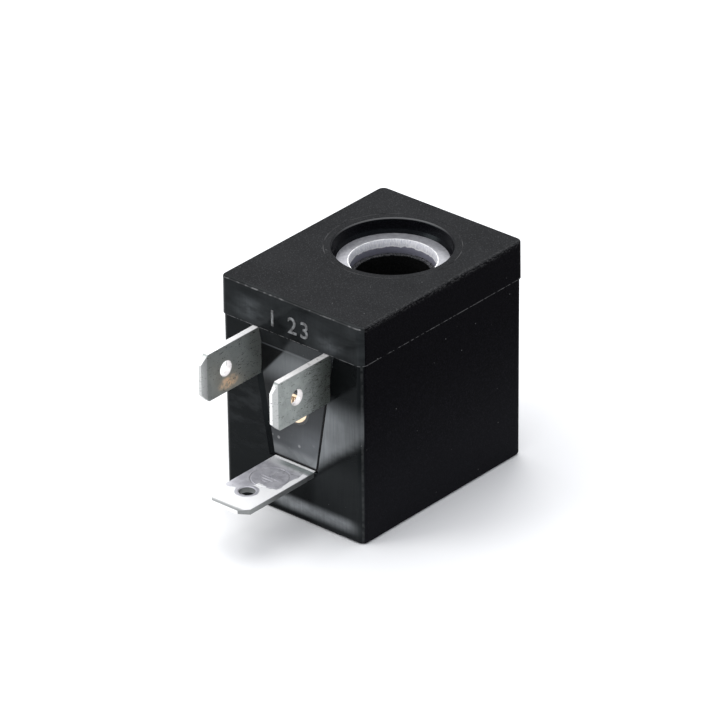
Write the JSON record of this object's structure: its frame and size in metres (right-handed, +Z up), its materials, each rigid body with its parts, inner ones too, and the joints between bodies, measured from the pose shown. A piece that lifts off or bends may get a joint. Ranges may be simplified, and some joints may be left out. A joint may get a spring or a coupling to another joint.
{
  "type": "solenoid valve coil",
  "caption": "Moulded solenoid valve coil: black block with a bore for an armature tube, two upright power tabs and a flat earth tab.",
  "frame": {"origin": "on the bore axis, at the base face of the block", "axes": "+Z up the bore axis towards the nut side, -Y towards the terminals, +X to the right as seen from the terminals' side"},
  "size_m": [0.022, 0.0418, 0.029],
  "materials": {
    "moulding": "black moulded polyamide, fine grain on top, glossy on the front",
    "carrier_plastic": "smooth black polyester",
    "spool_plastic": "black glass-filled polyamide",
    "yoke_steel": "zinc-plated mild steel with a punched hole",
    "copper": "enamelled copper wire",
    "tape": "yellow polyester tape",
    "tinned_tab": "tin-plated, rolled grain with fine scratches",
    "rivet_steel": "plain",
    "insert_brass": "turned",
    "sleeve": "woven glass sleeve",
    "solder": "bright solder"
  },
  "bodies": {
    "root": {"body_moulding": "moulding", "terminal_carrier": "carrier_plastic", "bobbin": "spool_plastic", "yoke": "yoke_steel", "winding": "copper", "winding_tape": "tape", "power_terminal_right": "tinned_tab", "power_terminal_left": "tinned_tab", "earth_terminal": "tinned_tab", "earth_rivet": "rivet_steel", "screw_insert": "insert_brass", "start_lead": "copper", "finish_lead": "copper", "start_sleeve": "sleeve", "finish_sleeve": "sleeve", "start_joint": "solder", "finish_joint": "solder"}
  },
  "joints": []
}
